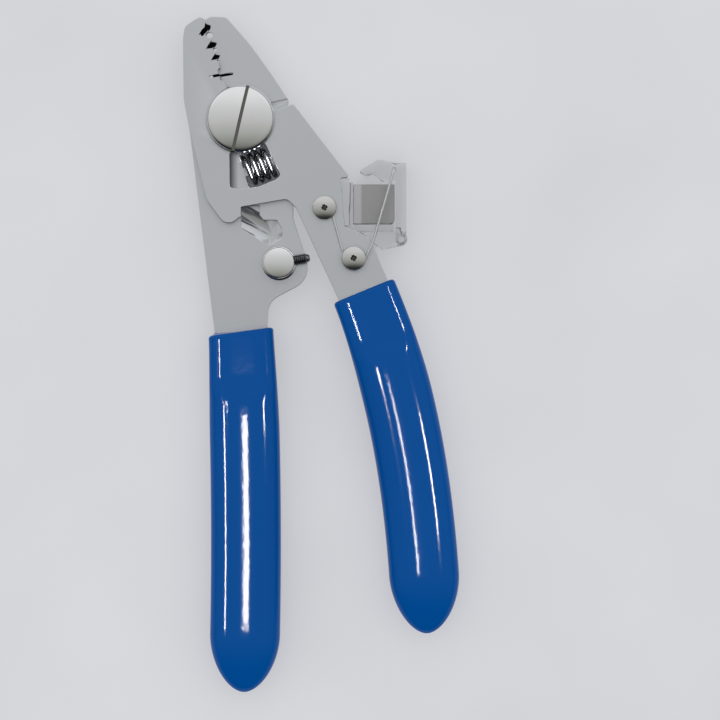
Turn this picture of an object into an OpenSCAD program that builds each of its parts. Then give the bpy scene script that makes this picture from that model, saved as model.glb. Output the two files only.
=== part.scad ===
// Fibre stripper: two stacked flat steel levers on a slotted pivot screw, sprung open,
// with stripping notches, an adjustable closing stop and a clear fibre wiper box.
// Millimetres. The tool lies flat: +Z is the front face's normal, +Y runs to the jaw tips
// and +X to the wiper box. The origin is on the pivot axis, at the plane it rests on.

/* [Levers] */
// Thickness of each steel lever
plate_t = 2.5; // [2:0.1:3]
// Running gap between the levers, and under the pivot head
plate_gap = 0.1; // [0.05:0.01:0.2]
// Height of the rear lever above the rest plane
rear_z = 3; // [2.6:0.1:4]
// Width of each lever where it enters its grip
tang_w = 13.2; // [11:0.1:13.6]
// Width of each lever at the end inside its grip
tang_end_w = 7; // [5:0.5:9]

/* [Pivot] */
// Diameter of the domed pivot head
pivot_head_d = 17.2; // [16.6:0.1:18]
// Height of the domed pivot head
pivot_head_h = 2.9; // [2.4:0.1:3.6]
// Diameter of the barrel that the levers turn on
pivot_barrel_d = 8; // [6:0.1:9]
// Radial running clearance of a turning hole
running = 0.05; // [0.02:0.01:0.1]
// Turn of the screwdriver slot, from upright
slot_turn = -13; // [-90:1:90]
// Width of the screwdriver slot
slot_w = 0.8; // [0.6:0.1:1.4]

/* [Jaw spring] */
// Outer diameter of the jaw spring
jaw_spring_d = 8.3; // [7.4:0.1:8.5]
// Wire diameter of the jaw spring
jaw_wire = 1.35; // [1:0.05:1.4]
// Turns of the jaw spring
jaw_turns = 3.5; // [3:0.25:4]
// Distance of the spring's ends from the pivot
spring_r = 13.2; // [13:0.1:13.4]

/* [Stop] */
// Diameter of the domed stop post
post_d = 7.8; // [7:0.1:8.4]
// Height of the stop post above the rear lever
post_h = 5.2; // [4.6:0.1:6.5]
// Diameter of the stop screw
stop_d = 2.7; // [2:0.1:2.9]
// Reach of the stop screw from the post's axis
stop_reach = 7.8; // [6:0.1:9]

/* [Grips] */
// Thickness of the grips
grip_t = 11; // [10:0.5:13]
// Width of the grip bodies
grip_w = 17.6; // [16.6:0.1:19]
// Width of the grips at their collars
collar_w = 16.4; // [16:0.1:17]

/* [Wiper box] */
// Height of the felt pad, along the tool
pad_h = 10.1; // [8:0.1:10.4]
// Width of the felt pad
pad_w = 10.5; // [8:0.1:10.7]
// Thickness of the clear walls
wall = 1.7; // [1.2:0.1:1.8]
// Wire diameter of the flap spring
flap_wire = 0.65; // [0.5:0.05:0.8]
// Diameter of the flap's hinge pin
pin_d = 1.5; // [1.2:0.1:1.6]

/* [Fasteners] */
// Diameter of the box screws
screw_d = 3; // [2.5:0.5:3]
// Diameter of the box screws' heads
screw_head_d = 6; // [5.4:0.1:6.2]

/* [Hidden] */
$fn = 64;
eps = 0.01;

steel = "#a9abad";
nickel = "#c9cac6";
grip_blue = "#034d9b";
clear_pc = "#dfe3e8a0";

front_z = rear_z + plate_t + plate_gap;
front_top = front_z + plate_t;
head_z = front_top + plate_gap;
mid_z = rear_z + plate_t + plate_gap / 2;

// ---------- outline functions ----------
function unit(v) = v / norm(v);
function flat(p) = [p.x, p.y];
function dir(a) = [cos(a), sin(a)];
function side(v) = [-v.y, v.x];

// An arc that rounds corner b = [x, y, radius] between its neighbours a and c
function corner(a, b, c, n) =
    let (p = flat(b), u = unit(flat(a) - p), v = unit(flat(c) - p), r = b.z)
    r <= 0 ? [p] :
    let (half = acos(max(-1, min(1, u * v))) / 2,
         o = p + unit(u + v) * r / sin(half),
         s = p + u * r / tan(half) - o,
         e = p + v * r / tan(half) - o,
         a0 = atan2(s.y, s.x),
         raw = atan2(e.y, e.x) - a0,
         turn = raw > 180 ? raw - 360 : raw < -180 ? raw + 360 : raw)
    [for (i = [0:n]) o + r * dir(a0 + turn * i / n)];

function rounded(p, n = 6) =
    let (k = len(p))
    [for (i = [0:k - 1]) each corner(p[(i + k - 1) % k], p[i], p[(i + 1) % k], n)];

function bezier(p, t) =
    pow(1 - t, 3) * p[0] + 3 * t * pow(1 - t, 2) * p[1] + 3 * t * t * (1 - t) * p[2] + pow(t, 3) * p[3];
function bezier_dir(p, t) =
    unit(pow(1 - t, 2) * (p[1] - p[0]) + 2 * t * (1 - t) * (p[2] - p[1]) + t * t * (p[3] - p[2]));

// ---------- shared places ----------
// Centre lines of the handles, from the grip's mouth to its end
rear_line = [[0.05, -53.1], [1.3, -78], [1.8, -110], [0.7, -143.5]];
front_line = [[30.75, -42.9], [41, -67.8], [45.5, -95], [46.7, -128.8]];

// The seam between the jaws, from the tips to the pivot head
seam_top = [-8.9, 25];
seam_foot = [-4.05, 9.6];
blade_lap = 2.1;

// Slanted entries of the stripping stations, measured from the station's hole
long_entry = [[-1, 2.95], [0.35, 2.5], [0.2, 1.6], [-1.15, 0.1], [-1.6, -0.4], [-2.65, -0.1],
              [-1.85, 1.2], [-1.15, 1.9]];
short_entry = [[-0.95, 2.05], [0.55, 1.8], [0.15, 0.9], [-0.5, 0.25], [-2.25, -0.05], [-1.65, 1]];
// Stripping stations: centre of the hole, its diameter and its entry
stations = [[[-7.85, 21.1], 1.7, long_entry], [[-6.45, 17.5], 0.95, short_entry],
            [[-5.6, 14.7], 0.6, 0.8 * short_entry]];
entry_depth = 1;
// Small round nips below the stations, [x, y, radius]
nips = [[-4.7, 13.3, 0.6], [-4.95, 12, 0.8], [-4.5, 10.2, 0.68]];
cross_slot = [-4.9, 11.05];
cross_len = 6.1;
cross_w = 0.7;
cross_turn = 10;

// Spring windows, by the angles of their ends about the pivot
seat_rear_a = -86;
seat_front_a = -51.5;
window_lap = 15.9;
seat_tilt = 12.5;
window_play = 0.15;
window_corner = 0.8;
// the straight spring sags inwards from the arc through its ends
spring_sag = spring_r * (1 - cos((seat_front_a - seat_rear_a) / 2));
window_out = spring_r + jaw_spring_d / 2 + window_play;
window_in = spring_r - spring_sag - jaw_spring_d / 2 - window_play;
peg_w = 2.4;
peg_len = 1.5;
peg_t = 1.7;

post_at = [9.6, -36];
stop_turn = 10;
stop_z = front_z + plate_t / 2 + 0.1;
post_shank = 4.5;

upper_at = [21, -22.2];
lower_at = [28.3, -34.85];
nut_af = screw_d + 2.5;
nut_h = screw_d * 2 / 3;
flange_t = 2;
flange_z = front_z - flange_t;

// ---------- levers ----------
// The two edges of a handle inside its grip, down one side and back up the other
function tang(line, turn_back) =
    let (n = 10, last = 0.9,
         edge = function (t, s) bezier(line, t)
             + s * side(bezier_dir(line, t)) * (tang_w + (tang_end_w - tang_w) * t / last) / 2)
    concat([for (i = [0:n]) edge(last * i / n, turn_back ? -1 : 1)],
           [for (i = [n:-1:0]) edge(last * i / n, turn_back ? 1 : -1)]);

function with_radius(p) = [for (q = p) [q.x, q.y, 0]];

hub_r = 8.2;
front_outline = rounded(concat(
    [[-9, 24.9, 0.25], [-10, 25.6, 1.2], [-13.9, 23.3, 2.2], [-14.4, 20, 4], [-14.2, 5, 12],
     [-12.7, -3, 12], [-8.5, -20.2, 6], [-3.4, -27.2, 2.6], [-0.3, -24.5, 0.8], [0.1, -24.5, 0],
     [0.1, -22, 0.3], [11.6, -20, 1.8], [13.9, -22.2, 3]],
    with_radius(tang(front_line, true)),
    [[33.5, -32.4, 2], [32.6, -30.1, 2], [28.6, -27.8, 3], [26, -26.9, 0.4], [25.1, -14.8, 0.3],
     [27.4, -14.6, 0.6], [14, 2.8, 1.2], [13.2, 3.75, 0.4], [11.8, 3.3, 0.3], [9, 2.3, 0.3]],
    [for (a = [17:14:115]) [hub_r * cos(a), hub_r * sin(a), 0]],
    [[seam_foot.x, seam_foot.y, 0.4]]));

rear_outline = rounded(concat(
    [[seam_top.x, seam_top.y, 0.2], [-7.7, 25.75, 1.2], [-3.7, 25.75, 1.6], [2.4, 18.8, 25],
     [7.7, 11.4, 25], [12, 4.9, 0.5], [11.7, 3, 0.5], [17.2, -5, 5], [17.6, -12, 6],
     [13.2, -21.5, 1], [13.1, -24.8, 3], [16.6, -35.2, 5], [17.1, -40.2, 5.5], [7, -45.6, 4.5]],
    with_radius(tang(rear_line, false)),
    [[-9.7, -27, 60], [-12.9, -2.2, 4], [-12.3, 4.5, 4],
     [seam_foot.x - blade_lap - 0.6, 9.9, 1.2], [seam_top.x - blade_lap, seam_top.y - 0.8, 0.4],
     [seam_top.x - 0.6, seam_top.y - 0.2, 0.2]]));

// One end of a spring window: a line square to the spring, through its end
function seat(a, tilt) =
    let (p = spring_r * dir(a), d = dir(a + tilt))
    [p - 7 * d, p + 7 * d];

// The spring window between two end angles
module window(a_left, a_right) {
    left = seat(a_left, seat_tilt);
    right = seat(a_right, -seat_tilt);
    offset(r = window_corner, $fn = 24)
        offset(delta = -window_corner)
            intersection() {
                difference() {
                    circle(r = window_out);
                    circle(r = window_in);
                }
                polygon([left[0], left[1], [left[1].x + 3, left[1].y - 9],
                         [right[1].x + 9, right[1].y - 3], right[1], right[0]]);
            }
}

// A peg on a window's end that holds the spring; s = 1 points to the right
module peg(a, s, z) {
    translate([spring_r * cos(a), spring_r * sin(a), z])
        rotate(a + s * seat_tilt + 90)
            translate([s > 0 ? -0.5 : -peg_len, -peg_w / 2, 0])
                cube([peg_len + 0.5, peg_w, peg_t]);
}

// The cross slot, cut down from z = 0
module cross_cut(depth) {
    translate([cross_slot.x, cross_slot.y, -depth])
        rotate(cross_turn)
            round_slot(cross_len, cross_w, depth + 1);
}

// A straight slot with round ends, along X
module round_slot(len, w, h) {
    translate([-len / 2 + w / 2, -w / 2, 0])
        cube([len - w, w, h]);
    for (s = [-1, 1])
        translate([s * (len - w) / 2, 0, 0])
            cylinder(d = w, h = h, $fn = 24);
}

module rear_lever() {
    color(steel) {
        peg(seat_rear_a, 1, rear_z + plate_t - peg_t);
        recess_floor();
        difference() {
            translate([0, 0, rear_z])
                linear_extrude(plate_t)
                    difference() {
                        polygon(rear_outline);
                        circle(d = pivot_barrel_d + 2 * running);
                        translate(post_at)
                            circle(d = post_shank);
                        window(seat_rear_a, seat_front_a + window_lap);
                        for (s = stations)
                            station_hole(s[0], s[1]);
                    }
            translate([0, 0, rear_z + plate_t])
                cross_cut(1.3);
            // the entries and the hub's ledge are ground into the top
            for (s = stations)
                top_pocket(entry_depth) translate(s[0]) polygon(s[2]);
            top_pocket(ledge_depth) polygon(ledge);
            top_pocket(recess_depth) recess_outline();
        }
    }
}

// A round hole in the rear blade, with a fine slit to the blade's edge
module station_hole(at, d) {
    translate(at) {
        circle(d = d, $fn = 32);
        translate([-blade_lap - 1, -d / 2])
            square([blade_lap + 1, min(0.4, d / 2)]);
    }
}

// A pocket ground into the rear lever's top
ledge = [[5.5, 3.6], [8.1, 4.45], [12.4, 5.4], [13, 1.5], [8.6, 0.5], [5.5, 0.5]];
ledge_depth = 0.9;

module top_pocket(depth) {
    translate([0, 0, rear_z + plate_t - depth])
        linear_extrude(depth + 1)
            children();
}

recess_depth = 1.5;
recess_r = 6.2;
recess_a = [0, -24.7];
recess_b = [8.3, -28.2];

module recess_outline() {
    polygon(rounded([[0, -21.6, 0], [0, -27.1, 0.3], [7.2, -31.7, 2.6], [10.7, -29.4, 2],
                     [10.1, -27, 1.5], [9, -25.2, 0.5], [5.7, -25.2, 0.3], [4.7, -24, 0.3], [4.7, -21.6, 0]]));
}

// What stays in the recess: the floor between its two crossing flutes
module recess_floor() {
    top = rear_z + plate_t;
    difference() {
        translate([0, 0, top - recess_depth])
            linear_extrude(recess_depth - 0.3)
                recess_outline();
        translate([recess_a.x, recess_a.y, top + recess_r - recess_depth])
            rotate([0, 90, -29])
                cylinder(r = recess_r, h = 40, center = true, $fn = 96);
        translate([recess_b.x, recess_b.y, top + recess_r - recess_depth])
            rotate([90, 0, -14])
                cylinder(r = recess_r, h = 14, center = true, $fn = 96);
    }
}

module front_lever() {
    color(steel) {
        peg(seat_front_a, -1, front_z);
        difference() {
            translate([0, 0, front_z])
                linear_extrude(plate_t)
                    difference() {
                        polygon(front_outline);
                        circle(d = pivot_barrel_d + 2 * running);
                        for (p = [upper_at, lower_at])
                            translate(p)
                                circle(d = screw_d);
                        window(seat_rear_a - window_lap, seat_front_a);
                        for (s = stations)
                            translate(s[0]) {
                                polygon(s[2]);
                                circle(d = s[1], $fn = 32);
                            }
                        for (n = nips)
                            translate([n.x, n.y])
                                circle(r = n.z, $fn = 24);
                    }
            translate([0, 0, front_top])
                cross_cut(plate_t + 1);
        }
    }
}

// ---------- pivot ----------
post_disc_d = 14;
post_disc_h = rear_z - 0.6;
pivot_thread_d = 5;

module pivot_post() {
    color(nickel)
        difference() {
            union() {
                rotate_extrude()
                    polygon([[0, 0], [post_disc_d / 2 - 0.5, 0], [post_disc_d / 2, 0.5],
                             [post_disc_d / 2, post_disc_h], [0, post_disc_h]]);
                cylinder(d = pivot_barrel_d, h = head_z);
            }
            translate([0, 0, post_disc_h])
                cylinder(d = pivot_thread_d, h = 20);
        }
}

module pivot_washer() {
    color(nickel)
        translate([0, 0, post_disc_h])
            difference() {
                cylinder(d = post_disc_d - 1.5, h = rear_z - post_disc_h);
                translate([0, 0, -1])
                    cylinder(d = pivot_barrel_d, h = 3);
            }
}

// A head of diameter d and height h: a dome over a straight rim, with a rounded edge
module domed_head(d, h, rim, edge) {
    n = 7;
    r = d / 2;
    ball = (r * r + (h - rim) * (h - rim)) / (2 * (h - rim));
    swing = asin(r / ball);
    rotate_extrude()
        polygon(rounded(concat(
            [[0, 0, 0], [r - 0.15, 0, 0], [r, 0.15, 0], [r, rim, edge]],
            [for (i = [1:n]) let (a = swing * (1 - i / n)) [ball * sin(a), h - ball + ball * cos(a), 0]])));
}

module pivot_screw() {
    color(nickel)
        translate([0, 0, head_z]) {
            difference() {
                domed_head(pivot_head_d, pivot_head_h, 1.5, 0.9);
                rotate(slot_turn)
                    translate([-slot_w / 2, -pivot_head_d, pivot_head_h - 1.5])
                        cube([slot_w, 2 * pivot_head_d, 3]);
            }
            translate([0, 0, post_disc_h + 0.4 - head_z])
                cylinder(d = pivot_thread_d, h = head_z - post_disc_h - 0.4 + eps);
        }
}

// ---------- swept wire ----------
// A round wire of m sides along a list of points
function wire_frame(p, i) =
    let (n = len(p), t = unit(p[min(n - 1, i + 1)] - p[max(0, i - 1)]),
         s = unit(cross(t, abs(t.z) > 0.9 ? [1, 0, 0] : [0, 0, 1])))
    [s, cross(s, t)];

module wire(p, d, m = 8) {
    n = len(p);
    points = [for (i = [0:n - 1]) let (f = wire_frame(p, i))
              for (j = [0:m - 1]) p[i] + d / 2 * (cos(360 * j / m) * f[0] + sin(360 * j / m) * f[1])];
    faces = concat([[for (j = [0:m - 1]) j]],
                   [for (i = [0:n - 2]) for (j = [0:m - 1]) let (k = (j + 1) % m)
                    each [[i * m + j, (i + 1) * m + j, (i + 1) * m + k], [i * m + j, (i + 1) * m + k, i * m + k]]],
                   [[for (j = [m - 1:-1:0]) (n - 1) * m + j]]);
    polyhedron(points, faces);
}

// ---------- jaw spring ----------
spring_from = spring_r * dir(seat_rear_a);
spring_to = spring_r * dir(seat_front_a);

module jaw_spring() {
    axis = unit(spring_to - spring_from);
    free = norm(spring_to - spring_from) - jaw_wire - 0.3;
    start = spring_from + axis * (jaw_wire / 2 + 0.15);
    r = (jaw_spring_d - jaw_wire) / 2;
    steps = 18 * jaw_turns;
    across = side(axis);
    color("#8d9094")
        wire([for (i = [0:steps]) let (a = 360 * jaw_turns * i / steps, c = start + axis * free * i / steps)
              [c.x + across.x * r * cos(a), c.y + across.y * r * cos(a), mid_z + r * sin(a)]], jaw_wire, 8);
}

// ---------- closing stop ----------
post_flange = 0.6;

module stop_post() {
    z0 = rear_z + plate_t;
    color(nickel)
        difference() {
            translate([post_at.x, post_at.y, 0]) {
                translate([0, 0, z0])
                    cylinder(d = post_d + 0.8, h = post_flange);
                translate([0, 0, z0])
                    domed_head(post_d, post_h, post_h - 0.55, 0.45);
                translate([0, 0, rear_z - 1.2])
                    cylinder(d = post_shank, h = plate_t + 1.2 + eps);
            }
            translate([post_at.x, post_at.y, stop_z])
                rotate([0, 90, stop_turn])
                    translate([0, 0, -stop_d])
                        cylinder(d = stop_d, h = 20);
        }
}

module stop_post_ring() {
    color(nickel)
        translate([post_at.x, post_at.y, rear_z - 0.8])
            difference() {
                cylinder(d = post_shank + 3.4, h = 0.8);
                translate([0, 0, -1])
                    cylinder(d = post_shank, h = 3);
            }
}

// Set screw with a socket inside the post and a rounded nose
module stop_screw() {
    nose = 0.7;
    back = stop_d;
    color("#6f7174")
        translate([post_at.x, post_at.y, stop_z])
            rotate([0, 90, stop_turn])
                translate([0, 0, -back]) {
                    difference() {
                        cylinder(d = stop_d, h = stop_reach + back - nose);
                        translate([0, 0, -1])
                            cylinder(d = stop_d / 2, h = 2.4, $fn = 6);
                    }
                    translate([0, 0, stop_reach + back - nose])
                        cylinder(d1 = stop_d, d2 = stop_d - 1.2, h = nose);
                }
}

// ---------- grips ----------
collar_len = 17;
collar_t = 9.6;
mouth_round = 0.9;
tip_len = 13;

function blend01(x) = let (u = max(0, min(1, x))) u * u * (3 - 2 * u);
function signed_pow(v, e) = (v < 0 ? -1 : 1) * pow(abs(v), e);

// Share of the full size at a distance from the grip's closed end
function tip_share(d) = d >= tip_len ? 1 : pow(1 - pow(1 - d / tip_len, 1.8), 1 / 1.8);
// Inset that rounds the mouth
function mouth_inset(s) = s >= mouth_round ? 0 : mouth_round - sqrt(pow(mouth_round, 2) - pow(mouth_round - s, 2));

// Distances along the grip at which a ring is placed: dense at the mouth, collar and tip
function ring_places(len) = concat([0, 0.15, 0.45, 0.9, 4, 8],
    [for (s = [12:2.4:24]) s], [for (i = [1:10]) 24 + (len - tip_len - 24) * i / 10],
    [for (a = [12:12:84]) len - tip_len + tip_len * sin(a)], [len - 0.08]);

module grip(line, len, mouth_turn) {
    m = 28;
    rings = ring_places(len);
    n = len(rings);
    points = [for (s = rings)
        let (t = s / len, c = bezier(line, t), body = blend01((s - collar_len + 4) / 8),
             turn = mouth_turn * (1 - blend01(s / collar_len)),
             ax = side(bezier_dir(line, t)),
             across = [ax.x * cos(turn) - ax.y * sin(turn), ax.x * sin(turn) + ax.y * cos(turn)],
             share = tip_share(len - s), inset = mouth_inset(s),
             mouth_w = collar_w + (grip_w - collar_w) * blend01(s / 30),
             half_w = max(0.05, mouth_w / 2 * share - inset),
             half_t = max(0.05, (collar_t + (grip_t - collar_t) * body) / 2 * share - inset),
             power = 2 / (4.5 - 1.7 * body))
        for (j = [0:m - 1])
            let (a = 360 * j / m, w = half_w * signed_pow(cos(a), power), h = half_t * signed_pow(sin(a), power))
            [c.x + across.x * w, c.y + across.y * w, grip_t / 2 + h]];
    faces = concat([[for (j = [m - 1:-1:0]) j]],
                   [for (i = [0:n - 2]) for (j = [0:m - 1]) let (k = (j + 1) % m)
                    each [[i * m + j, i * m + k, (i + 1) * m + k], [i * m + j, (i + 1) * m + k, (i + 1) * m + j]]],
                   [[for (j = [0:m - 1]) (n - 1) * m + j]]);
    polyhedron(points, faces);
}

module rear_grip() {
    color(grip_blue)
        difference() {
            grip(rear_line, 90.5, 5);
            translate([0, 0, rear_z])
                linear_extrude(plate_t)
                    polygon(rear_outline);
        }
}

module front_grip() {
    color(grip_blue)
        difference() {
            grip(front_line, 87.5, 0);
            translate([0, 0, front_z])
                linear_extrude(plate_t)
                    polygon(front_outline);
        }
}

// ---------- wiper box ----------
box_z0 = 0.8;
box_z1 = front_top - 0.1;
box_left = 25.4;
pad_x0 = box_left + wall + 1;
pad_y1 = -16.25;
pad_y0 = pad_y1 - pad_h;
pad_x1 = pad_x0 + pad_w;
floor_y0 = pad_y0 - wall;
flap_gap = 0.25;
flap_x0 = pad_x1 + flap_gap;
flap_t = 2.6;
flap_top = pad_y1 + 5.25;
hinge_at = [flap_x0 + flap_t / 2, floor_y0 - 1.95];
knuckle_r = 1.6;
fork_z0 = 2.8;
fork_z1 = 6.1;
fork_gap = 0.15;

module box_block(x0, x1, y0, y1, z0, z1) {
    translate([x0, y0, z0])
        cube([x1 - x0, y1 - y0, z1 - z0]);
}

module wiper_base() {
    color(clear_pc)
        difference() {
            union() {
                // flange clamped under the front lever
                translate([0, 0, flange_z])
                    linear_extrude(flange_t)
                        polygon(rounded([[upper_at.x - 3.6, upper_at.y + 1.4, 2.5],
                                         [upper_at.x + 1, upper_at.y + 4.6, 3.4],
                                         [box_left + wall, upper_at.y + 4.6, 0], [box_left + wall, floor_y0, 0],
                                         [pad_x1 - 2, floor_y0, 0], [lower_at.x + 4.9, lower_at.y + 1.65, 2],
                                         [lower_at.x + 1.2, lower_at.y - 4.05, 3.8],
                                         [lower_at.x - 4.5, lower_at.y - 1.15, 3.6]]));
                // tray: left wall, floor under the pad and a back web
                box_block(box_left, pad_x0 - 1, pad_y0 - 0.4, pad_y1 + 1.45, flange_z, box_z1);
                box_block(pad_x0 - 1, pad_x0, floor_y0, pad_y1 + 0.4, box_z0, box_z1);
                box_block(pad_x0, pad_x1 - 0.3, floor_y0, pad_y0, box_z0, box_z1);
                box_block(pad_x0, pad_x1 - 1.5, pad_y0, pad_y1, box_z0, box_z0 + 1);
                // web and lug that carry the flap's hinge
                translate([0, 0, fork_z0])
                    linear_extrude(fork_z1 - fork_z0)
                        polygon([[pad_x1 - 8.6, floor_y0], [pad_x1 - 0.3, floor_y0],
                                 [hinge_at.x, hinge_at.y + knuckle_r - 0.2],
                                 [hinge_at.x, hinge_at.y - knuckle_r],
                                 [pad_x1 - 3.1, floor_y0 - 4.55], [pad_x1 - 6, floor_y0 - 2.35]]);
                translate([hinge_at.x, hinge_at.y, fork_z0])
                    cylinder(r = knuckle_r, h = fork_z1 - fork_z0);
            }
            for (p = [upper_at, lower_at])
                translate([p.x, p.y, -1])
                    cylinder(d = screw_d, h = 20);
            translate([hinge_at.x, hinge_at.y, -1])
                cylinder(d = pin_d, h = 20);
            translate([0, 0, front_z])
                linear_extrude(plate_t)
                    polygon(front_outline);
        }
}

module wiper_pad() {
    color("#828282")
        translate([0, 0, box_z0 + 1])
            linear_extrude(box_z1 - box_z0 - 1)
                polygon(rounded([[pad_x0, pad_y0, 0.2], [pad_x1, pad_y0, 1.4], [pad_x1, pad_y1, 0.2],
                                 [pad_x0, pad_y1, 0.2]]));
}

// Outline of the flap's hood, from the inner top corner of the flap
hood = [[1, -0.2, 0.3], [-3.85, 0.8, 0.8], [-4.85, 0.7, 0.8], [-9.25, -2.1, 0.3], [-7.65, -3, 0.6],
        [-5.65, -2.7, 0.8], [-3.25, -4.6, 0.5], [1, -3.9, 0]];

module wiper_flap() {
    color(clear_pc)
        difference() {
            union() {
                box_block(flap_x0, flap_x0 + flap_t, hinge_at.y, flap_top, box_z0, box_z1);
                translate([hinge_at.x, hinge_at.y, box_z0])
                    cylinder(d = flap_t, h = box_z1 - box_z0);
                // hood over the pad's mouth
                translate([0, 0, box_z0])
                    linear_extrude(box_z1 - box_z0)
                        translate([flap_x0, flap_top])
                            polygon(rounded(hood));
            }
            // fork round the base's lug
            translate([hinge_at.x, hinge_at.y, fork_z0 - fork_gap])
                cylinder(r = knuckle_r + 0.5, h = fork_z1 - fork_z0 + 2 * fork_gap);
            box_block(flap_x0 - 1, hinge_at.x, hinge_at.y - 1, pad_y0 - 0.6, fork_z0 - fork_gap, fork_z1 + fork_gap);
            translate([hinge_at.x, hinge_at.y, -1])
                cylinder(d = pin_d + 2 * running, h = 20);
            // hole that the flap spring hooks into
            translate([hook_at.x, hook_at.y, box_z1 - 2])
                cylinder(d = flap_wire + 0.5, h = 5);
        }
}

module flap_hinge_pin() {
    color(clear_pc)
        translate([hinge_at.x, hinge_at.y, box_z0 - 0.4])
            cylinder(d = pin_d, h = box_z1 - box_z0 + 0.8);
}

// ---------- box fasteners ----------
cross_d = 2.3;
bush_h = 2.5 * flap_wire + 0.2;
washer_h = flap_wire + 0.05;

module pan_screw(at, seat_z) {
    color(nickel)
        translate([at.x, at.y, seat_z]) {
            difference() {
                domed_head(screw_head_d, 1.9, 1.2, 0.3);
                for (a = [17, 107])
                    rotate(a)
                        translate([-cross_d / 2, -0.25, 1])
                            cube([cross_d, 0.5, 2]);
            }
            translate([0, 0, flange_z - nut_h - seat_z - 0.4])
                cylinder(d = screw_d, h = seat_z - flange_z + nut_h + 0.4 + eps);
        }
}

module hex_nut(at) {
    color(nickel)
        translate([at.x, at.y, flange_z - nut_h])
            difference() {
                cylinder(d = nut_af / cos(30), h = nut_h, $fn = 6);
                translate([0, 0, -1])
                    cylinder(d = screw_d, h = 5);
            }
}

module upper_screw() {
    pan_screw(upper_at, front_top + washer_h);
}

module lower_screw() {
    pan_screw(lower_at, front_top + bush_h);
}

module upper_nut() {
    hex_nut(upper_at);
}

module lower_nut() {
    hex_nut(lower_at);
}

module upper_washer() {
    color(nickel)
        translate([upper_at.x, upper_at.y, front_top])
            difference() {
                cylinder(d = screw_head_d - 0.6, h = washer_h);
                translate([0, 0, -1])
                    cylinder(d = screw_d, h = 3);
                wire_seat();
            }
}

module wire_seat() {
    translate([0.9, -4, -1])
        rotate(-19)
            cube([3, 8, 3]);
}

module spring_bush() {
    color(nickel)
        translate([lower_at.x, lower_at.y, front_top])
            difference() {
                cylinder(d = screw_d + 1.2, h = bush_h);
                translate([0, 0, -1])
                    cylinder(d = screw_d, h = 5);
            }
}

// ---------- flap spring ----------
flap_coil_r = 2.75;
leg_anchor = [upper_at.x + 1.9, upper_at.y - 1.4];
hook_at = [flap_x0 - 0.5, flap_top - 1.6];

module wiper_spring() {
    z0 = front_top + flap_wire / 2 + 0.02;
    rise = flap_wire + 0.03;
    // the anchor leg meets the coil on its left, the long leg leaves it on its right
    a0 = 158;
    turns = 1.5;
    steps = 27;
    start = lower_at + flap_coil_r * dir(a0);
    coil = [for (i = [1:steps - 1]) let (a = a0 + 360 * turns * i / steps)
            [lower_at.x + flap_coil_r * cos(a), lower_at.y + flap_coil_r * sin(a), z0 + rise * turns * i / steps]];
    tail = coil[len(coil) - 1];
    color("#9a9c9f")
        wire(concat([[leg_anchor.x, leg_anchor.y, z0], [start.x - 0.3, start.y + 1, z0]], coil,
                    [[lower_at.x + 3.4, lower_at.y + 0.95, z0 + rise * turns],
                     [lower_at.x + 4.8, lower_at.y + 3.85, z0 + rise * turns + 0.05],
                     [hook_at.x - 0.2, hook_at.y - 0.8, z0 + rise * turns + 0.05],
                     [hook_at.x, hook_at.y - 0.1, z0 + rise * turns - 0.2],
                     [hook_at.x, hook_at.y, z0 + rise * turns - 0.8],
                     [hook_at.x, hook_at.y, box_z1 - 1]]),
             flap_wire, 8);
}

rear_lever();
pivot_post();
pivot_washer();
pivot_screw();
jaw_spring();
stop_post();
stop_post_ring();
stop_screw();
rear_grip();
front_lever();
front_grip();
wiper_base();
wiper_pad();
upper_screw();
lower_screw();
upper_nut();
lower_nut();
upper_washer();
spring_bush();
wiper_spring();
flap_hinge_pin();
wiper_flap();
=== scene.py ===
import math

import bmesh
import bpy
from mathutils import Matrix, Vector, noise


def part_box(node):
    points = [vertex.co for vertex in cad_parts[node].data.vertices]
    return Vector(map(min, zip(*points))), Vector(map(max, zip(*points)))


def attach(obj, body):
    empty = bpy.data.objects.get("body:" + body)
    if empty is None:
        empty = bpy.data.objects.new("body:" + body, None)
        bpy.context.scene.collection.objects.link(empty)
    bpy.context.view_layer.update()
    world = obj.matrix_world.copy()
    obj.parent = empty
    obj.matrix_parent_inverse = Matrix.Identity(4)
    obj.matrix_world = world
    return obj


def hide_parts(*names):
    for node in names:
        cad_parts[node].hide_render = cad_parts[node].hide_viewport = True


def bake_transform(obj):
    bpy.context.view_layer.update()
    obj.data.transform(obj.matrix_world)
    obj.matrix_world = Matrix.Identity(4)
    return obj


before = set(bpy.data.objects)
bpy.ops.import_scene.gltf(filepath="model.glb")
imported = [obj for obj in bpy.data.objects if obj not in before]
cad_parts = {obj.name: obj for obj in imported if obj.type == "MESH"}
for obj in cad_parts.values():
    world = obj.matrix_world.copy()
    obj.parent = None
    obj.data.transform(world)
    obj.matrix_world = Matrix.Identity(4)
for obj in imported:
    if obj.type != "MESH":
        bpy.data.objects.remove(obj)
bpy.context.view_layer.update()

mm = 0.001


def srgb(code):
    parts = [int(code[i:i + 2], 16) / 255 for i in (1, 3, 5)]
    return tuple(c / 12.92 if c <= 0.04045 else ((c + 0.055) / 1.055) ** 2.4 for c in parts) + (1,)


# how many times a pattern of that size repeats in a metre
def perMetre(sizeMm):
    return 1000 / sizeMm


def addNode(tree, kind, settings=None, links=None):
    made = tree.nodes.new(kind)
    for key, value in (settings or {}).items():
        if isinstance(key, int) or key in made.inputs:
            made.inputs[key].default_value = value
        else:
            setattr(made, key, value)
    for key, source in (links or {}).items():
        tree.links.new(source, made.inputs[key])
    return made


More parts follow.
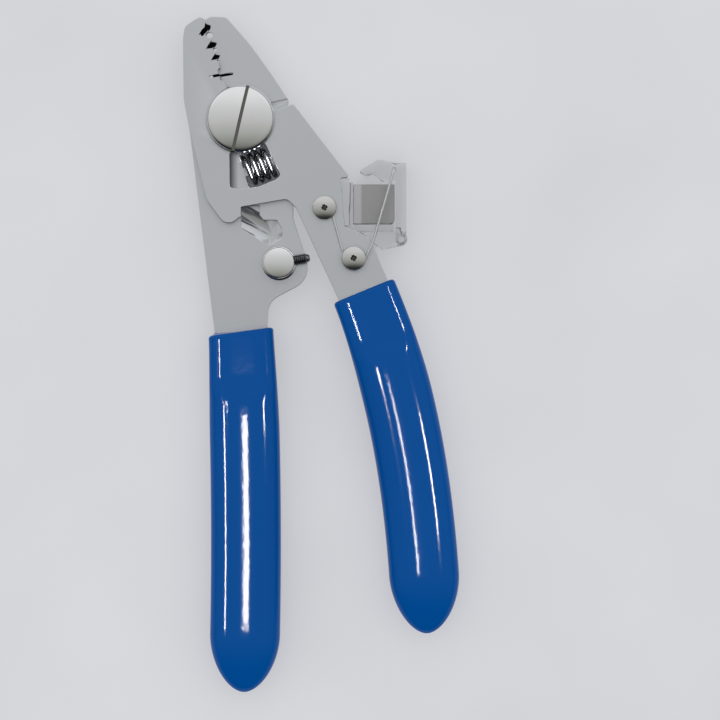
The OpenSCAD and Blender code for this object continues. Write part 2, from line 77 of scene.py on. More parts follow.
def newMaterial(name, settings):
    material = bpy.data.materials.new(name)
    material.use_nodes = True
    tree = material.node_tree
    tree.nodes.clear()
    shader = addNode(tree, "ShaderNodeBsdfPrincipled", settings)
    addNode(tree, "ShaderNodeOutputMaterial", links={"Surface": shader.outputs[0]})
    where = addNode(tree, "ShaderNodeTexCoord").outputs["Object"]
    return material, tree, shader, where


# soft patches of two near colours, and the patches' value for other uses
def patches(tree, where, sizeMm, first, second, detail=3):
    cloud = addNode(tree, "ShaderNodeTexNoise", {"Scale": perMetre(sizeMm), "Detail": detail}, {"Vector": where})
    blend = addNode(tree, "ShaderNodeMix", {"data_type": "RGBA", 6: srgb(first), 7: srgb(second)},
                    {0: cloud.outputs["Fac"]})
    return blend.outputs[2], cloud.outputs["Fac"]


def roughFrom(tree, value, low, high):
    return addNode(tree, "ShaderNodeMapRange", {"From Min": 0.3, "From Max": 0.7, "To Min": low, "To Max": high},
                   {"Value": value}).outputs[0]


def bumpFrom(tree, value, depthMm, strength=1.0):
    return addNode(tree, "ShaderNodeBump", {"Distance": depthMm * mm, "Strength": strength},
                   {"Height": value}).outputs[0]


def math2(tree, operation, a, b):
    made = addNode(tree, "ShaderNodeMath", {"operation": operation})
    for slot, value in ((0, a), (1, b)):
        if isinstance(value, (int, float)):
            made.inputs[slot].default_value = value
        else:
            tree.links.new(value, made.inputs[slot])
    return made.outputs[0]


def darkWhere(tree, shader, mask, colour):
    old = shader.inputs["Base Color"].links[0].from_socket
    mix = addNode(tree, "ShaderNodeMix", {"data_type": "RGBA", 7: srgb(colour)}, {0: mask, 6: old})
    tree.links.new(mix.outputs[2], shader.inputs["Base Color"])


# ---- masks: 1 where a test holds and 0 elsewhere; places and limits in mm
def below(tree, value, limit):
    return math2(tree, "LESS_THAN", value, limit * mm)


def above(tree, value, limit):
    return math2(tree, "GREATER_THAN", value, limit * mm)


def sizeOf(tree, value):
    return math2(tree, "ABSOLUTE", value, 0)


def allOf(tree, first, *others):
    for mask in others:
        first = math2(tree, "MULTIPLY", first, mask)
    return first


def anyOf(tree, first, *others):
    for mask in others:
        first = math2(tree, "MAXIMUM", first, mask)
    return first


def distanceTo(tree, point, spot):
    return addNode(tree, "ShaderNodeVectorMath", {"operation": "DISTANCE", 1: tuple(c * mm for c in spot)},
                   {0: point}).outputs["Value"]


def flattened(tree, point):
    return addNode(tree, "ShaderNodeVectorMath", {"operation": "MULTIPLY", 1: (1, 1, 0)}, {0: point}).outputs[0]


def alongDirection(tree, point, direction):
    return addNode(tree, "ShaderNodeVectorMath", {"operation": "DOT_PRODUCT", 1: (direction[0], direction[1], 0)},
                   {0: point}).outputs["Value"]


# ---- lever steel: stamped carbon steel, bead-blasted and satin nickel plated; an even soft grey sheen
plate = {"light": "#d2d5db", "olive": "#cdd0d5", "patch": 16, "grain": 0.22, "grainDepth": 0.002,
         "roughLow": 0.30, "roughHigh": 0.37, "broken": 0.12, "sharp": 17}
# painted shade in the cuts along the seam between the jaws: the walls of the ground blades, the pockets' floors
# under the entries, and the cross slot are darkened, each only near a station (x, y, reach)
seam = {"foot": (-4.05, 9.6), "top": (-8.9, 25.0)}
cuts = {"colour": "#101112", "bladeWidth": 3.4, "bladeFoot": 8.7, "upright": 0.5, "floor": 5.36, "low": 3.3,
        "pocketLeft": -1.9, "pocketFoot": 12}
stations = ((-8.6, 22.2, 1.9), (-7.0, 18.2, 1.3), (-6.0, 15.2, 1.2), (-4.9, 11.05, 1.2))
crossSlot = {"at": (-4.9, 11.05, 4.6), "reach": 3.4, "half": 0.65, "rearTop": 5.4, "frontTop": 8.0}
# painted shade on the rear lever beside the spring, darkest against the window's left wall
wallShade = {"colour": "#202122", "full": -2.9, "none": -0.6, "most": 0.95, "left": -4, "foot": -18, "top": -8, "z": 5.3}

seamFoot = Vector(seam["foot"])
seamAlong = (Vector(seam["top"]) - seamFoot).normalized()
seamLeft = Vector((-seamAlong.y, seamAlong.x))


# painted shade: darkens the blade walls, the pockets' floors and the cross slot near the stations
def seamCutShade(tree, where, axes, rear):
    x, y, z = (axes.outputs[name] for name in "XYZ")
    reach = math2(tree, "SUBTRACT", alongDirection(tree, where, seamLeft), seamFoot.dot(seamLeft) * mm)
    facing = addNode(tree, "ShaderNodeSeparateXYZ",
                     links={0: addNode(tree, "ShaderNodeNewGeometry").outputs["Normal"]}).outputs["Z"]
    upright = math2(tree, "LESS_THAN", sizeOf(tree, facing), cuts["upright"])
    cut = allOf(tree, above(tree, reach, -0.02), above(tree, y, cuts["bladeFoot"]),
                below(tree, reach, cuts["bladeWidth"]), upright)
    if rear:
        sunk = allOf(tree, below(tree, z, cuts["floor"]), above(tree, reach, cuts["pocketLeft"]),
                     above(tree, y, cuts["pocketFoot"]))
        cut = allOf(tree, anyOf(tree, cut, sunk), above(tree, z, cuts["low"]))
    flat = flattened(tree, where)
    atStation = anyOf(tree, *(below(tree, distanceTo(tree, flat, (sx, sy, 0)), r) for sx, sy, r in stations))
    bars = anyOf(tree, *(below(tree, sizeOf(tree, math2(tree, "SUBTRACT", axis, middle * mm)), crossSlot["half"])
                         for axis, middle in zip((x, y), crossSlot["at"])))
    inSlot = allOf(tree, below(tree, distanceTo(tree, where, crossSlot["at"]), crossSlot["reach"]), bars,
                   below(tree, z, crossSlot["rearTop"] if rear else crossSlot["frontTop"]))
    if rear:
        inSlot = allOf(tree, inSlot, above(tree, z, cuts["low"]))
    return anyOf(tree, allOf(tree, cut, atStation), inSlot)


def plateSteel(name, rear):
    material, tree, shader, where = newMaterial(name, {"Metallic": 1.0})
    colour, value = patches(tree, where, plate["patch"], plate["light"], plate["olive"])
    tree.links.new(colour, shader.inputs["Base Color"])
    grain = addNode(tree, "ShaderNodeTexNoise", {"Scale": perMetre(plate["grain"]), "Detail": 2}, {"Vector": where})
    tree.links.new(roughFrom(tree, grain.outputs["Fac"], plate["roughLow"], plate["roughHigh"]),
                   shader.inputs["Roughness"])
    tree.links.new(bumpFrom(tree, grain.outputs["Fac"], plate["grainDepth"]), shader.inputs["Normal"])
    axes = addNode(tree, "ShaderNodeSeparateXYZ", links={0: where})
    darkWhere(tree, shader, seamCutShade(tree, where, axes, rear), cuts["colour"])
    # painted shade beside the spring's window, fading away from its left wall
    if rear:
        x, y, z = (axes.outputs[name] for name in "XYZ")
        fade = addNode(tree, "ShaderNodeMapRange", {"From Min": wallShade["full"] * mm, "From Max": wallShade["none"] * mm,
                                                    "To Min": wallShade["most"], "To Max": 0.0}, {"Value": x}).outputs[0]
        wallShadeMask = allOf(tree, fade, below(tree, y, wallShade["top"]), above(tree, y, wallShade["foot"]),
                     above(tree, x, wallShade["left"]), above(tree, z, wallShade["z"]))
        darkWhere(tree, shader, wallShadeMask, wallShade["colour"])
    return material


frontSteel = plateSteel("satinNickelSteelFront", False)
rearSteel = plateSteel("satinNickelSteelRear", True)


# ---- bright nickel: turned brass, polished and nickel plated; mirror bright with faint handling haze
# cut gives a mask of the faces cut later, which are darkened to the given colour as painted shade
def brightNickel(name, light, warm, roughLow, roughHigh, cut=None, cutShadeColour=None):
    material, tree, shader, where = newMaterial(name, {"Metallic": 1.0})
    colour, value = patches(tree, where, 5, light, warm)
    tree.links.new(colour, shader.inputs["Base Color"])
    tree.links.new(roughFrom(tree, value, roughLow, roughHigh), shader.inputs["Roughness"])
    haze = addNode(tree, "ShaderNodeTexNoise", {"Scale": perMetre(0.35), "Detail": 2}, {"Vector": where})
    tree.links.new(bumpFrom(tree, haze.outputs["Fac"], 0.0006), shader.inputs["Normal"])
    if cut:
        darkWhere(tree, shader, cut(tree, where), cutShadeColour)
    return material


nickelLook = ("#e3e4e6", "#dcdddd", 0.07, 0.12)
polishedNickel = brightNickel("polishedNickel", *nickelLook)
# fasteners: cold-headed steel, barrel nickel plated; a little duller than the polished parts
screwNickel = brightNickel("barrelPlatedNickel", "#dcdcd9", "#cfd0cd", 0.16, 0.24)
# the set screw: black-oxide steel worn grey
darkSteel = brightNickel("blackOxideSteel", "#8a8b8d", "#6c6d70", 0.22, 0.32)
# the flap spring: hard-drawn music wire, bright drawn; mirror streaks along the wire
springSteel = brightNickel("drawnMusicWire", "#dfe0e2", "#d0d1d4", 0.10, 0.16)
# the jaw spring: music wire darkened as painted shade between and behind the coils; mirror streaks
darkenedSpringWire = brightNickel("shadedMusicWire", "#77787b", "#68696c", 0.12, 0.18)


# ---- grips: PVC plastisol, dip moulded; saturated blue with a wet gloss and a faint orange peel
vinyl = {"blue": "#004b93", "deep": "#00478e", "peel": 1.6}


def dippedVinyl():
    material, tree, shader, where = newMaterial("dippedVinyl", {"Roughness": 0.06, "Specular IOR Level": 0.10,
                                                               "IOR": 1.53})
    colour, value = patches(tree, where, 30, vinyl["blue"], vinyl["deep"], 2)
    tree.links.new(colour, shader.inputs["Base Color"])
    peel = addNode(tree, "ShaderNodeTexNoise", {"Scale": perMetre(vinyl["peel"]), "Detail": 1}, {"Vector": where})
    tree.links.new(bumpFrom(tree, peel.outputs["Fac"], 0.008), shader.inputs["Normal"])
    return material


gripVinyl = dippedVinyl()


# ---- wiper box: polycarbonate, injection moulded clear; water clear faces with a faint grey cast
def clearPlastic():
    material, tree, shader, where = newMaterial("clearPolycarbonate", {"Transmission Weight": 1.0, "IOR": 1.58})
    colour, value = patches(tree, where, 8, "#f4f4f6", "#ecedf0")
    tree.links.new(colour, shader.inputs["Base Color"])
    tree.links.new(roughFrom(tree, value, 0.02, 0.06), shader.inputs["Roughness"])
    ripple = addNode(tree, "ShaderNodeTexNoise", {"Scale": perMetre(4), "Detail": 1}, {"Vector": where})
    tree.links.new(bumpFrom(tree, ripple.outputs["Fac"], 0.01), shader.inputs["Normal"])
    return material


clearBox = clearPlastic()


# ---- wiper pad: dense grey wool felt, die cut; matt, with short tangled fibres
felt = {"mid": "#8f8f90", "fleck": "#848485", "edge": "#a3a2a6", "edgeWidth": 2.1, "fibre": 0.5}


def woolFelt(edgeX):
    material, tree, shader, where = newMaterial("greyWoolFelt", {"Roughness": 0.95, "Specular IOR Level": 0.1,
                                                                "Sheen Weight": 0.15, "Sheen Roughness": 0.6})
    stretched = addNode(tree, "ShaderNodeMapping", {"Scale": (1, 0.35, 1), "Rotation": (0, 0, 0.5)},
                        {"Vector": where}).outputs[0]
    fibres = addNode(tree, "ShaderNodeTexNoise", {"Scale": perMetre(felt["fibre"]), "Detail": 6, "Roughness": 0.75},
                     {"Vector": stretched}).outputs["Fac"]
    colour = addNode(tree, "ShaderNodeMix", {"data_type": "RGBA", 6: srgb(felt["fleck"]), 7: srgb(felt["mid"])},
                     {0: fibres}).outputs[2]
    side = addNode(tree, "ShaderNodeSeparateXYZ", links={0: where}).outputs["X"]
    band = addNode(tree, "ShaderNodeMapRange", {"interpolation_type": "SMOOTHSTEP",
                                                "From Min": edgeX + (felt["edgeWidth"] - 0.4) * mm,
                                                "From Max": edgeX + (felt["edgeWidth"] + 0.4) * mm,
                                                "To Min": 1.0, "To Max": 0.0}, {"Value": side}).outputs[0]
    mix = addNode(tree, "ShaderNodeMix", {"data_type": "RGBA", 7: srgb(felt["edge"])}, {0: band, 6: colour})
    tree.links.new(mix.outputs[2], shader.inputs["Base Color"])
    tree.links.new(bumpFrom(tree, fibres, 0.12), shader.inputs["Normal"])
    return material


print("materials made")


# ---- making pieces
def toObject(mesh, name, material, smoothAngle=35):
    data = bpy.data.meshes.new(name)
    mesh.to_mesh(data)
    mesh.free()
    for face in data.polygons:
        face.use_smooth = True
    data.set_sharp_from_angle(angle=math.radians(smoothAngle))
    data.materials.append(material)
    piece = bpy.data.objects.new(name, data)
    bpy.context.scene.collection.objects.link(piece)
    return piece


def place(piece, body, slotName, *nodes):
    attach(piece, body)
    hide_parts(*nodes)
    return piece


# the CAD node's shape as clean merged faces
def nodeShape(name):
    mesh = bmesh.new()
    mesh.from_mesh(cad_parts[name].data)
    bmesh.ops.remove_doubles(mesh, verts=mesh.verts, dist=0.0005 * mm)
    bmesh.ops.dissolve_limit(mesh, angle_limit=math.radians(0.6), verts=mesh.verts, edges=mesh.edges,
                             use_dissolve_boundaries=False)
    return mesh


# breaks the sharp edges that keep says yes to
def breakEdges(mesh, widthMm, keep=lambda edge: True, segments=2, sharp=32):
    edges = [e for e in mesh.edges if len(e.link_faces) == 2 and e.calc_face_angle() > math.radians(sharp) and keep(e)]
    bmesh.ops.bevel(mesh, geom=edges, offset=widthMm * mm, offset_type="OFFSET", affect="EDGES", segments=segments,
                    profile=0.5, material=-1, clamp_overlap=False)


def level(edge):
    return abs(edge.verts[0].co.z - edge.verts[1].co.z) < 0.01 * mm


# turns a profile of (radius, height) in mm about the Z axis
def turned(profile, steps=96):
    mesh = bmesh.new()
    verts = [mesh.verts.new((r * mm, 0, z * mm)) for r, z in profile]
    edges = [mesh.edges.new(pair) for pair in zip(verts, verts[1:])]
    bmesh.ops.spin(mesh, geom=verts + edges, cent=(0, 0, 0), axis=(0, 0, 1), dvec=(0, 0, 0), angle=2 * math.pi,
                   steps=steps, use_merge=True, use_duplicate=False)
    bmesh.ops.remove_doubles(mesh, verts=mesh.verts, dist=0.0005 * mm)
    bmesh.ops.recalc_face_normals(mesh, faces=mesh.faces)
    return mesh


def moved(mesh, matrix):
    bmesh.ops.transform(mesh, matrix=matrix, verts=mesh.verts)
    return mesh


# cuts the cutters' shapes out of the piece
def cutOut(piece, *cutters):
    for cutter in cutters:
        tool = toObject(cutter, "cutter", piece.data.materials[0])
        bite = piece.modifiers.new("bite", "BOOLEAN")
        bite.operation, bite.solver, bite.object = "DIFFERENCE", "EXACT", tool
        result = bpy.data.meshes.new_from_object(piece.evaluated_get(bpy.context.evaluated_depsgraph_get()))
        piece.modifiers.clear()
        old, piece.data = piece.data, result
        bpy.data.meshes.remove(old)
        bpy.data.objects.remove(tool)
    piece.data.name = piece.name
    piece.data.set_sharp_from_angle(angle=math.radians(35))
    return piece


def blockShape(size, centre, turn=0):
    mesh = bmesh.new()
    bmesh.ops.create_cube(mesh, size=1, matrix=Matrix.Translation(Vector(centre) * mm)
                          @ Matrix.Rotation(turn, 4, "Z") @ Matrix.Diagonal((*[s * mm for s in size], 1)))
    return mesh


# a turned head's side: rim with a rounded edge, running into the dome
def headPoints(r, base, rim, top, edge):
    ball = (r * r + (top - rim) ** 2) / (2 * (top - rim))
    lean = math.asin((r - edge) / (ball - edge))
    middle = top - ball + (ball - edge) * math.cos(lean)
    points = [(r - 0.15, base), (r, base + 0.15)]
    for i in range(9):
        a = (math.pi / 2 - lean) * i / 8
        points.append((r - edge + edge * math.cos(a), middle + edge * math.sin(a)))
    for i in range(1, 17):
        a = lean * (1 - i / 16)
        points.append((ball * math.sin(a), top - ball + ball * math.cos(a)))
    return points


# a wire along points in mm
def wireShape(name, points, thick, material):
    curve = bpy.data.curves.new(name, "CURVE")
    curve.dimensions, curve.bevel_depth, curve.bevel_resolution, curve.use_fill_caps = "3D", thick * mm / 2, 4, True
    spline = curve.splines.new("POLY")
    spline.points.add(len(points) - 1)
    for target, p in zip(spline.points, points):
        target.co = (p[0] * mm, p[1] * mm, p[2] * mm, 1)
    carrier = bpy.data.objects.new(name + "Curve", curve)
    bpy.context.scene.collection.objects.link(carrier)
    data = bpy.data.meshes.new_from_object(carrier.evaluated_get(bpy.context.evaluated_depsgraph_get()))
    bpy.data.objects.remove(carrier)
    mesh = bmesh.new()
    mesh.from_mesh(data)
    bpy.data.meshes.remove(data)
    bmesh.ops.remove_doubles(mesh, verts=mesh.verts, dist=0.0005 * mm)
    bmesh.ops.recalc_face_normals(mesh, faces=mesh.faces)
    return toObject(mesh, name, material, 50)


# the plates' level edges, but not the fine cuts along the seam between the jaws
fineCuts = {"foot": 7.5, "aside": 4.2}


def plateOutline(edge):
    middle = (edge.verts[0].co + edge.verts[1].co).xy / (2 * mm)
    aside = abs((middle - seamFoot).dot(seamLeft))
    return level(edge) and (middle.y < fineCuts["foot"] or aside > fineCuts["aside"])


# ---- levers: the stamped edges broken by tumbling
for name, body, material in (("rear_lever", "rear_half", rearSteel), ("front_lever", "front_half", frontSteel)):
    shape = nodeShape(name)
    breakEdges(shape, plate["broken"], plateOutline)
    place(toObject(shape, name + "_plate", material, plate["sharp"]), body, "lever_steel", name)
print("levers made")

# ---- pivot: the slotted head
pivotHead = {"radius": 8.6, "base": 8.2, "rim": 9.7, "top": 11.1, "edge": 1.35, "shank": 2.5, "foot": 2.8,
             "slotWidth": 0.8, "slotFloor": 9.6, "turn": math.radians(-13), "slotShade": "#6a6a66"}


# the slot's faces, darkened as painted shade
def inPivotSlot(tree, where):
    across = alongDirection(tree, where, (math.cos(pivotHead["turn"]), math.sin(pivotHead["turn"])))
    return below(tree, sizeOf(tree, across), pivotHead["slotWidth"] / 2 + 0.01)


def pivotScrew():
    s = pivotHead
    profile = [(0, s["foot"]), (s["shank"], s["foot"]), (s["shank"], s["base"])]
    profile += headPoints(s["radius"], s["base"], s["rim"], s["top"], s["edge"])
    slottedNickel = brightNickel("polishedNickelSlotted", *nickelLook, inPivotSlot, s["slotShade"])
    piece = toObject(turned(profile, 128), "pivot_head", slottedNickel)
    slot = blockShape((s["slotWidth"], 4 * s["radius"], 3), (0, 0, s["slotFloor"] + 1.5), s["turn"])
    cutOut(piece, slot)
    return place(piece, "rear_half", "nickel", "pivot_screw")


pivotScrew()
print("pivot made")

# ---- closing stop: domed post and its set screw
stopPost = {"at": (9.6, -36.0), "radius": 3.9, "base": 5.5, "flange": 4.3, "flangeTop": 6.1, "rim": 10.15, "top": 10.7,
            "edge": 0.45, "shank": 2.25, "foot": 1.8, "holeZ": 6.95, "hole": 2.7, "turn": 10}


def stopPostPiece():
    s = stopPost
    profile = [(0, s["foot"]), (s["shank"], s["foot"]), (s["shank"], s["base"]), (s["flange"], s["base"]),
               (s["flange"], s["flangeTop"] - 0.1), (s["flange"] - 0.1, s["flangeTop"])]
    profile += headPoints(s["radius"], s["flangeTop"], s["rim"], s["top"], s["edge"])[1:]
    shift = Matrix.Translation((s["at"][0] * mm, s["at"][1] * mm, 0))
    piece = toObject(moved(turned(profile), shift), "stop_dome", polishedNickel)
    drill = bmesh.new()
    bmesh.ops.create_cone(drill, cap_ends=True, segments=48, radius1=s["hole"] / 2 * mm, radius2=s["hole"] / 2 * mm,
                          depth=14 * mm)
    aim = Matrix.Translation((s["at"][0] * mm, s["at"][1] * mm, s["holeZ"] * mm)) @ Matrix.Rotation(
        math.radians(s["turn"]), 4, "Z") @ Matrix.Rotation(math.pi / 2, 4, "Y") @ Matrix.Translation((0, 0, 4.3 * mm))
    cutOut(piece, moved(drill, aim))
    return place(piece, "rear_half", "nickel", "stop_post")


stopScrew = {"radius": 1.35, "root": 1.08, "pitch": 0.5, "back": -2.7, "reach": 7.8, "nose": 0.7, "socket": 0.68}


def setScrew():
    s, p = stopScrew, stopPost
    # the hex socket's bore at the back, then the thread's grooves, then the cone of the nose
    profile = [(0, s["back"] + 1.4), (s["socket"], s["back"] + 1.2), (s["socket"], s["back"]), (s["root"], s["back"])]
    groove = s["back"] + 0.2
    while groove < s["reach"] - s["nose"] - s["pitch"]:
        profile += [(s["root"], groove), (s["radius"], groove + s["pitch"] * 0.42),
                    (s["radius"], groove + s["pitch"] * 0.58)]
        groove += s["pitch"]
    profile += [(s["root"], groove), (s["root"], s["reach"] - s["nose"]), (s["radius"] - 0.55, s["reach"] - 0.12),
                (s["radius"] - 0.7, s["reach"]), (0, s["reach"])]
    aim = Matrix.Translation((p["at"][0] * mm, p["at"][1] * mm, p["holeZ"] * mm)) @ Matrix.Rotation(
        math.radians(p["turn"]), 4, "Z") @ Matrix.Rotation(math.pi / 2, 4, "Y")
    piece = toObject(moved(turned(profile, 48), aim), "stop_set_screw", darkSteel)
    return place(piece, "rear_half", "dark_steel", "stop_screw")


stopPostPiece()
setScrew()
print("stop made")

# ---- jaw spring: a close coil between the levers' pegs
jawSpring = {"wire": 1.35, "outer": 8.3, "turns": 3.5, "from": (0.921, -13.168), "to": (8.217, -10.330), "z": 5.55,
             "perTurn": 32, "gap": 0.15}


def coilSpring():
    s = jawSpring
    first, last = Vector(s["from"]), Vector(s["to"])
    axis = (last - first).normalized()
    across = Vector((-axis.y, axis.x))
    r = (s["outer"] - s["wire"]) / 2
    start = first + axis * (s["wire"] / 2 + s["gap"])
    free = (last - first).length - s["wire"] - 2 * s["gap"]
    count = int(s["perTurn"] * s["turns"])
    points = []
    for i in range(count + 1):
        a = 2 * math.pi * s["turns"] * i / count
        c = start + axis * free * i / count + across * r * math.cos(a)
        points.append((c.x, c.y, s["z"] + r * math.sin(a)))
    piece = wireShape("jaw_spring_coil", points, s["wire"], darkenedSpringWire)
    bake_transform(piece)
    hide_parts("jaw_spring")
    return piece


jawCoil = coilSpring()
print("jaw spring made")

# ---- grips: dipped vinyl sleeves over the levers' tangs
rearGrip = {"name": "rear_grip", "body": "rear_half", "length": 90.5, "mouthTurn": 5, "tangZ": (3.0, 5.5),
            "line": ((0.05, -53.1), (1.3, -78), (1.8, -110), (0.7, -143.5))}
frontGrip = {"name": "front_grip", "body": "front_half", "length": 87.5, "mouthTurn": 0, "tangZ": (5.6, 8.1),
             "line": ((30.75, -42.9), (41, -67.8), (45.5, -95), (46.7, -128.8))}
gripSize = {"width": 17.6, "thick": 11, "collarWidth": 16.4, "collarThick": 9.6, "collarLength": 17, "tip": 13,
            "mouthRound": 0.9, "tang": 13.2, "tangEnd": 7, "around": 64, "widen": 30, "swell": 8, "collarSquare": 4.5,
            "bodySquare": 2.8, "tipSquare": 1.8, "tangDepth": 0.9, "least": 0.05, "tangPlay": 0.02}


def ease(x):
    x = max(0.0, min(1.0, x))
    return x * x * (3 - 2 * x)


def bezierAt(line, t):
    p = [Vector(q) for q in line]
    here = p[0] * (1 - t) ** 3 + p[1] * 3 * t * (1 - t) ** 2 + p[2] * 3 * t * t * (1 - t) + p[3] * t ** 3
    aim = (p[1] - p[0]) * (1 - t) ** 2 + (p[2] - p[1]) * 2 * t * (1 - t) + (p[3] - p[2]) * t * t
    aim.normalize()
    return here, Vector((-aim.y, aim.x))


# one ring of the sleeve at s mm from its mouth, of its tang's hole or of its outside
def gripRing(spec, s, inside):
    g, length = gripSize, spec["length"]
    t = s / length
    here, across = bezierAt(spec["line"], t)
    count = g["around"]
    ring = []
    turn = math.radians(spec["mouthTurn"] * (1 - ease(s / g["collarLength"])))
    if not inside:
        across = Vector((across.x * math.cos(turn) - across.y * math.sin(turn),
                         across.x * math.sin(turn) + across.y * math.cos(turn)))
    body = ease((s - g["collarLength"] + g["swell"] / 2) / g["swell"])
    left = length - s
    blunt = g["tipSquare"]
    share = 1 if left >= g["tip"] else (1 - (1 - left / g["tip"]) ** blunt) ** (1 / blunt)
    inset = 0 if s >= g["mouthRound"] else g["mouthRound"] - math.sqrt(
        g["mouthRound"] ** 2 - (g["mouthRound"] - s) ** 2)
    width = g["collarWidth"] + (g["width"] - g["collarWidth"]) * ease(s / g["widen"])
    thick = g["collarThick"] + (g["thick"] - g["collarThick"]) * body
    power = g["collarSquare"] + (g["bodySquare"] - g["collarSquare"]) * body
    for j in range(count):
        a = 2 * math.pi * j / count
        c, n = math.cos(a), math.sin(a)
        if inside:
            k = 1 / max(abs(c), abs(n))
            half = (g["tang"] + (g["tangEnd"] - g["tang"]) * t / g["tangDepth"]) / 2 + g["tangPlay"]
            low, high = spec["tangZ"]
            w, z = half * c * k, (low + high) / 2 + ((high - low) / 2 + g["tangPlay"]) * n * k
        else:
            k = 1 / (abs(c) ** power + abs(n) ** power) ** (1 / power)
            w = max(g["least"], width / 2 * share - inset) * c * k
            z = g["thick"] / 2 + max(g["least"], thick / 2 * share - inset) * n * k
        ring.append(Vector((here.x + across.x * w, here.y + across.y * w, z)) * mm)
    return ring


# rings run up the hole and back over the outside, closest at the mouth and round the tip
def makeGrip(spec):
    g, length = gripSize, spec["length"]
    inner = [g["tangDepth"] * length * (1 - i / 16) for i in range(17)]
    outer = [0, 0.06, 0.15, 0.3, 0.5, 0.7, 0.9, 1.6, 2.6, 4, 6, 8, 10, 12]
    outer += [13 + i for i in range(9)] + [22 + (length - g["tip"] - 22) * i / 26 for i in range(1, 27)]
    outer += [length - g["tip"] * (1 - math.sin(math.radians(4.5 * i))) for i in range(1, 20)]
    rings = [gripRing(spec, s, True) for s in inner] + [gripRing(spec, s, False) for s in outer]
    mesh = bmesh.new()
    rows, columns = len(rings) - 1, g["around"]
    bmesh.ops.create_grid(mesh, x_segments=rows, y_segments=columns, size=1)
    for v in mesh.verts:
        v.co = rings[round((v.co.x + 1) / 2 * rows)][round((v.co.y + 1) / 2 * columns) % columns]
    bmesh.ops.remove_doubles(mesh, verts=mesh.verts, dist=0.0005 * mm)
    bmesh.ops.holes_fill(mesh, edges=[e for e in mesh.edges if e.is_boundary], sides=0)
    bmesh.ops.recalc_face_normals(mesh, faces=mesh.faces)
    return place(toObject(mesh, spec["name"] + "_sleeve", gripVinyl, 40), spec["body"], "grip_vinyl", spec["name"])


grips = [makeGrip(rearGrip), makeGrip(frontGrip)]
print("grips made")

# ---- wiper box: clear moulded base and flap
for name, body in (("wiper_base", "front_half"), ("wiper_flap", "flap")):
    shape = nodeShape(name)
    breakEdges(shape, 0.12, level)
    place(toObject(shape, name + "_clear", clearBox, 28), body, "clear_plastic", name)

# ---- wiper pad: a felt block, a little crowned at its faces
feltPad = {"inset": 0.05, "round": 0.35, "corner": 1.3, "fuzz": 0.07, "fuzzSize": 0.7, "longEdge": 1.12,
           "halvings": 5}


def feltBlock():
    s = feltPad
    low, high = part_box("wiper_pad")
    size, centre = high - low, (low + high) / 2
    mesh = bmesh.new()
    bmesh.ops.create_cube(mesh, size=1, matrix=Matrix.Translation(centre)
                          @ Matrix.Diagonal((*(c - 2 * s["inset"] * mm for c in size), 1)))
    corner = [e for e in mesh.edges if all(v.co.x > centre.x and v.co.y < centre.y for v in e.verts)]
    bmesh.ops.bevel(mesh, geom=corner, offset=s["corner"] * mm, offset_type="OFFSET", affect="EDGES", segments=5,
                    profile=0.5, material=-1)
    breakEdges(mesh, s["round"], segments=3, sharp=40)
    for turn in range(s["halvings"]):
        long = [e for e in mesh.edges if e.calc_length() > s["longEdge"] * mm]
        if not long:
            break
        bmesh.ops.subdivide_edges(mesh, edges=long, cuts=1, use_grid_fill=True)
    bmesh.ops.triangulate(mesh, faces=[f for f in mesh.faces if len(f.verts) > 4])
    for v in mesh.verts:
        v.co -= v.normal * mm * s["fuzz"] * (0.5 + 0.5 * noise.noise(v.co * perMetre(s["fuzzSize"])))
    bmesh.ops.recalc_face_normals(mesh, faces=mesh.faces)
    piece = toObject(mesh, "felt_pad", woolFelt(low.x), 60)
    place(piece, "front_half", "felt", "wiper_pad")
    return piece


feltBlock()
print("wiper box made")

# ---- box screws: cross-recessed pan heads
panHead = {"radius": 3.0, "rim": 1.2, "high": 1.9, "edge": 0.3, "shank": 1.5, "cross": 1.15, "crossWidth": 0.75,
           "crossDepth": 1.0, "crossFoot": 0.35, "crossTurn": 0.3, "recessTop": 0.17, "recessShade": "#4e4e4b"}


def panScrew(node, name, seat, foot):
    s = panHead
    low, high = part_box(node)
    at = (low + high) / 2
    top = seat + s["high"]

    # the cross recess, darkened as painted shade
    def inRecess(tree, where):
        away = distanceTo(tree, flattened(tree, where), (at.x / mm, at.y / mm, 0))
        z = addNode(tree, "ShaderNodeSeparateXYZ", links={0: where}).outputs["Z"]
        return allOf(tree, below(tree, away, s["cross"] + 0.1), below(tree, z, top - s["recessTop"]))

    profile = [(0, foot), (s["shank"], foot), (s["shank"], seat)]
    profile += headPoints(s["radius"], seat, seat + s["rim"], top, s["edge"])
    recessed = brightNickel(name + "Nickel", "#cfcfcd", "#bfc0be", 0.16, 0.24, inRecess, s["recessShade"])
    piece = toObject(moved(turned(profile, 64), Matrix.Translation((at.x, at.y, 0))), name, recessed)
    wings = []
    for turn in (s["crossTurn"], s["crossTurn"] + math.pi / 2):
        wing = blockShape((2 * s["cross"], s["crossWidth"], 2 * s["crossDepth"]), (0, 0, 0))
        for v in wing.verts:
            if v.co.z < 0:
                v.co.x *= s["crossFoot"]
        wings.append(moved(wing, Matrix.Translation((at.x, at.y, top * mm)) @ Matrix.Rotation(turn, 4, "Z")))
    cutOut(piece, *wings)
    return place(piece, "front_half", "nickel", node)


upperLow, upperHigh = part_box("upper_screw")
lowerLow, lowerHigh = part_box("lower_screw")
panScrew("upper_screw", "upper_pan_screw", upperHigh.z / mm - panHead["high"], upperLow.z / mm)
panScrew("lower_screw", "lower_pan_screw", lowerHigh.z / mm - panHead["high"], lowerLow.z / mm)

